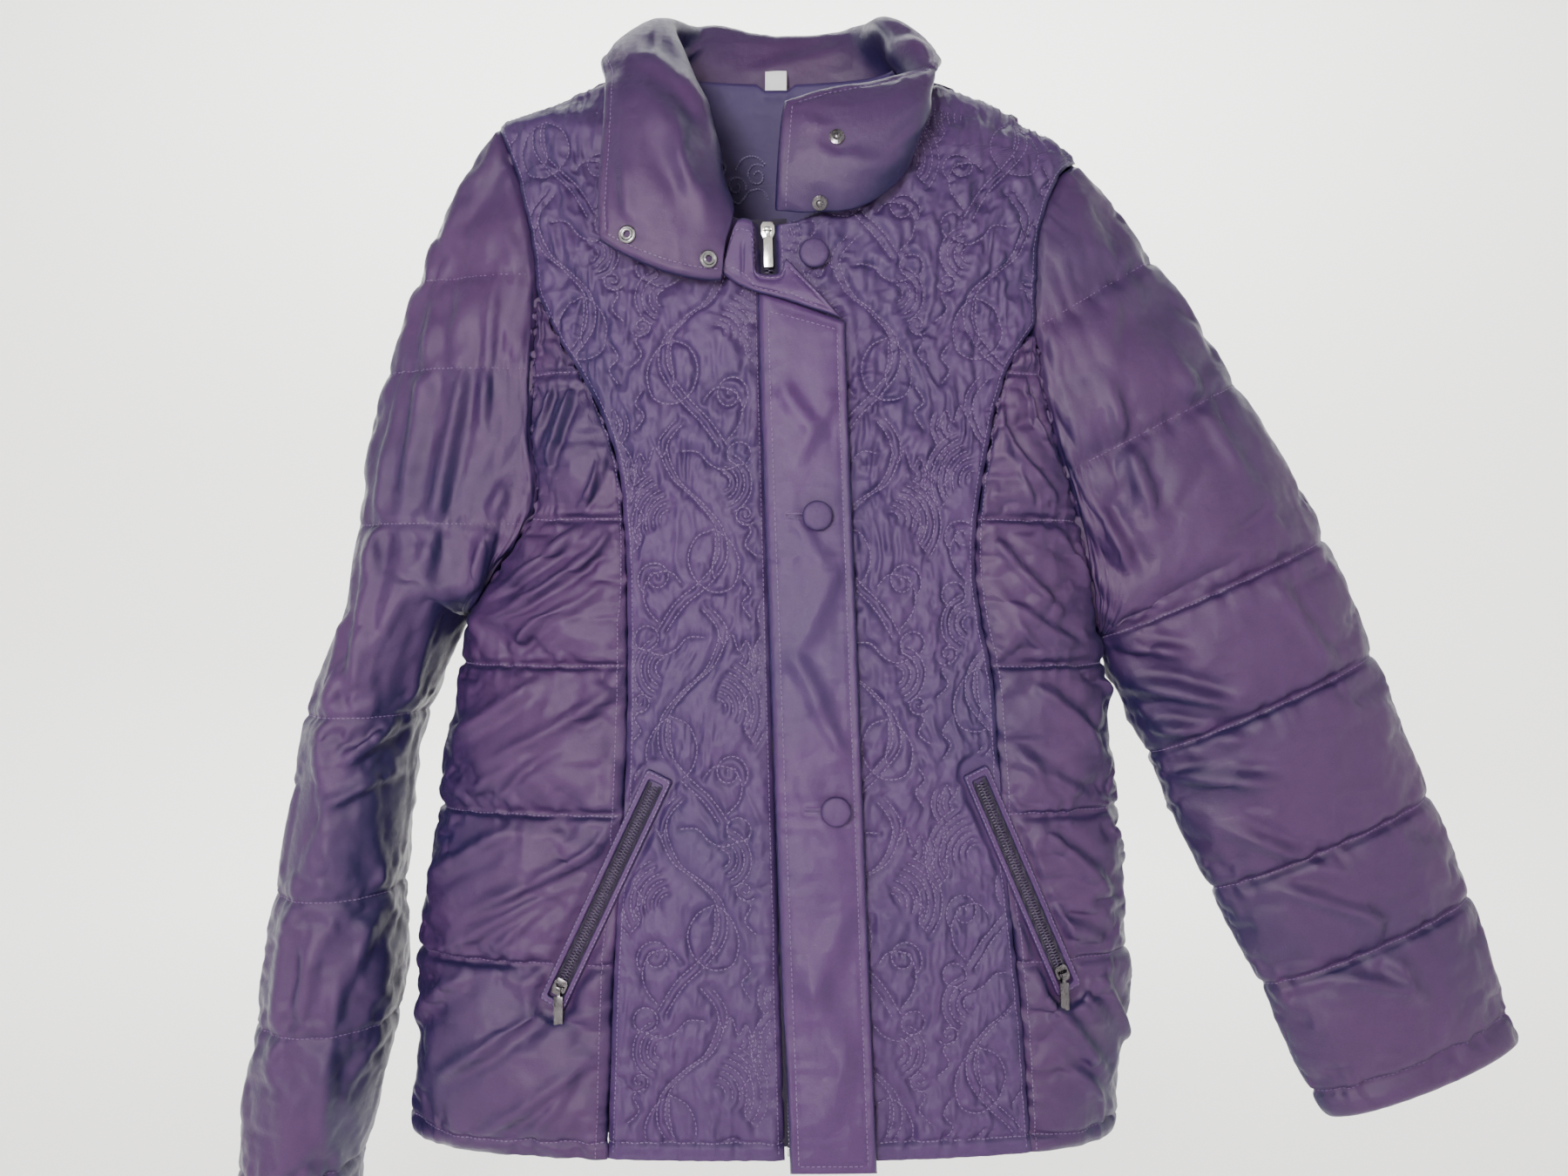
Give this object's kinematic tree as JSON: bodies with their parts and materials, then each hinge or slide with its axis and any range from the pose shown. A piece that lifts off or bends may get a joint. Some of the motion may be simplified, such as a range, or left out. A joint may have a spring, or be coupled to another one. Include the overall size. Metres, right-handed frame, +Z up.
{
  "type": "padded ski jacket",
  "caption": "Hip-length padded jacket with scroll-quilted fronts, opened stand collar, covered zip, button flap, slanted zip pockets and swinging sleeves.",
  "frame": {"origin": "middle of the neck opening, on the level line where a hanger carries the shoulders", "axes": "+X towards the wearer's left, -Y the front of the jacket, +Z up"},
  "size_m": [0.9143, 0.1572, 0.8617],
  "materials": {
    "shell_taffeta": "shiny shot polyester taffeta, blue-violet and plum",
    "quilted_taffeta": "shiny shot taffeta with scroll quilting",
    "button_cloth": "taffeta stretched over a button form",
    "lining_taffeta": "smooth lining taffeta",
    "wadding": "bonded polyester wadding",
    "label_satin": "woven satin",
    "thread": "sewing thread",
    "zip_tape": "woven herringbone tape",
    "zip_teeth_plastic": "moulded acetal",
    "dark_metal": "gunmetal plated brass",
    "bright_metal": "pale nickel plated brass"
  },
  "bodies": {
    "torso": {"right_quilted_front_shell": "quilted_taffeta", "right_side_front_shell": "shell_taffeta", "left_quilted_front_shell": "quilted_taffeta", "left_side_front_shell": "shell_taffeta", "back_yoke_shell": "shell_taffeta", "back_body_shell": "shell_taffeta", "right_quilted_front_wadding": "wadding", "right_side_front_wadding": "wadding", "left_quilted_front_wadding": "wadding", "left_side_front_wadding": "wadding", "back_yoke_wadding": "wadding", "back_body_wadding": "wadding", "right_front_lining": "lining_taffeta", "left_front_lining": "lining_taffeta", "back_lining": "lining_taffeta", "back_neck_facing": "lining_taffeta", "collar_shell": "shell_taffeta", "collar_wadding": "wadding", "collar_facing": "shell_taffeta", "storm_flap": "shell_taffeta", "storm_flap_turned_top": "shell_taffeta", "covered_buttons": "button_cloth", "button_threads": "thread", "collar_snap_sockets": "bright_metal", "collar_snap_studs": "dark_metal", "front_zip_tapes": "zip_tape", "front_zip_teeth": "zip_teeth_plastic", "front_zip_bottom_box": "bright_metal", "right_pocket_welt": "shell_taffeta", "right_pocket_zip_tapes": "zip_tape", "right_pocket_zip_teeth": "dark_metal", "right_pocket_bag": "lining_taffeta", "left_pocket_welt": "shell_taffeta", "left_pocket_zip_tapes": "zip_tape", "left_pocket_zip_teeth": "dark_metal", "left_pocket_bag": "lining_taffeta"},
    "right_sleeve": {"right_sleeve_front_shell": "shell_taffeta", "right_sleeve_back_shell": "shell_taffeta", "right_sleeve_wadding": "wadding", "right_sleeve_lining": "lining_taffeta", "right_cuff_hem": "shell_taffeta"},
    "left_sleeve": {"left_sleeve_front_shell": "shell_taffeta", "left_sleeve_back_shell": "shell_taffeta", "left_sleeve_wadding": "wadding", "left_sleeve_lining": "lining_taffeta", "left_cuff_hem": "shell_taffeta"},
    "front_slider": {"front_zip_slider": "bright_metal"},
    "front_pull": {"front_zip_pull": "bright_metal"},
    "right_pocket_slider": {"right_pocket_zip_slider": "dark_metal"},
    "right_pocket_pull": {"right_pocket_zip_pull": "dark_metal"},
    "left_pocket_slider": {"left_pocket_zip_slider": "dark_metal"},
    "left_pocket_pull": {"left_pocket_zip_pull": "dark_metal"},
    "care_label": {"care_label": "label_satin"}
  },
  "joints": [
    {"name": "right_sleeve_swing", "type": "hinge", "parent": "torso", "child": "right_sleeve", "pos_m": [-0.205, 0, -0.028], "axis": [0, 1, 0], "range_deg": [0, 18]},
    {"name": "left_sleeve_swing", "type": "hinge", "parent": "torso", "child": "left_sleeve", "pos_m": [0.21, 0, -0.054], "axis": [0, -1, 0], "range_deg": [0, 18]},
    {"name": "front_zip_slide", "type": "slide", "parent": "torso", "child": "front_slider", "axis": [-0.0274, 0.0223, 0.9994], "range_m": [-0.59, 0]},
    {"name": "front_zip_pull_swing", "type": "hinge", "parent": "front_slider", "child": "front_pull", "pos_m": [-0.01098, -0.06018, -0.11588], "axis": [-0.9996, 0, -0.0274], "range_deg": [0, 110]},
    {"name": "right_pocket_zip_slide", "type": "slide", "parent": "torso", "child": "right_pocket_slider", "axis": [0.4264, -0.0112, 0.9045], "range_m": [0, 0.14]},
    {"name": "right_pocket_pull_swing", "type": "hinge", "parent": "right_pocket_slider", "child": "right_pocket_pull", "pos_m": [-0.15003, -0.0664, -0.6229], "axis": [-0.9002, 0.0928, 0.4255], "range_deg": [0, 100]},
    {"name": "left_pocket_zip_slide", "type": "slide", "parent": "torso", "child": "left_pocket_slider", "axis": [-0.3974, -0.0527, 0.9161], "range_m": [0, 0.134]},
    {"name": "left_pocket_pull_swing", "type": "hinge", "parent": "left_pocket_slider", "child": "left_pocket_pull", "pos_m": [0.18866, -0.05597, -0.61682], "axis": [-0.8952, -0.1971, -0.3997], "range_deg": [0, 100]},
    {"name": "care_label_flip", "type": "hinge", "parent": "torso", "child": "care_label", "pos_m": [-0.006, 0.0304, 0.0126], "axis": [1, 0, 0], "range_deg": [0, 105]}
  ]
}
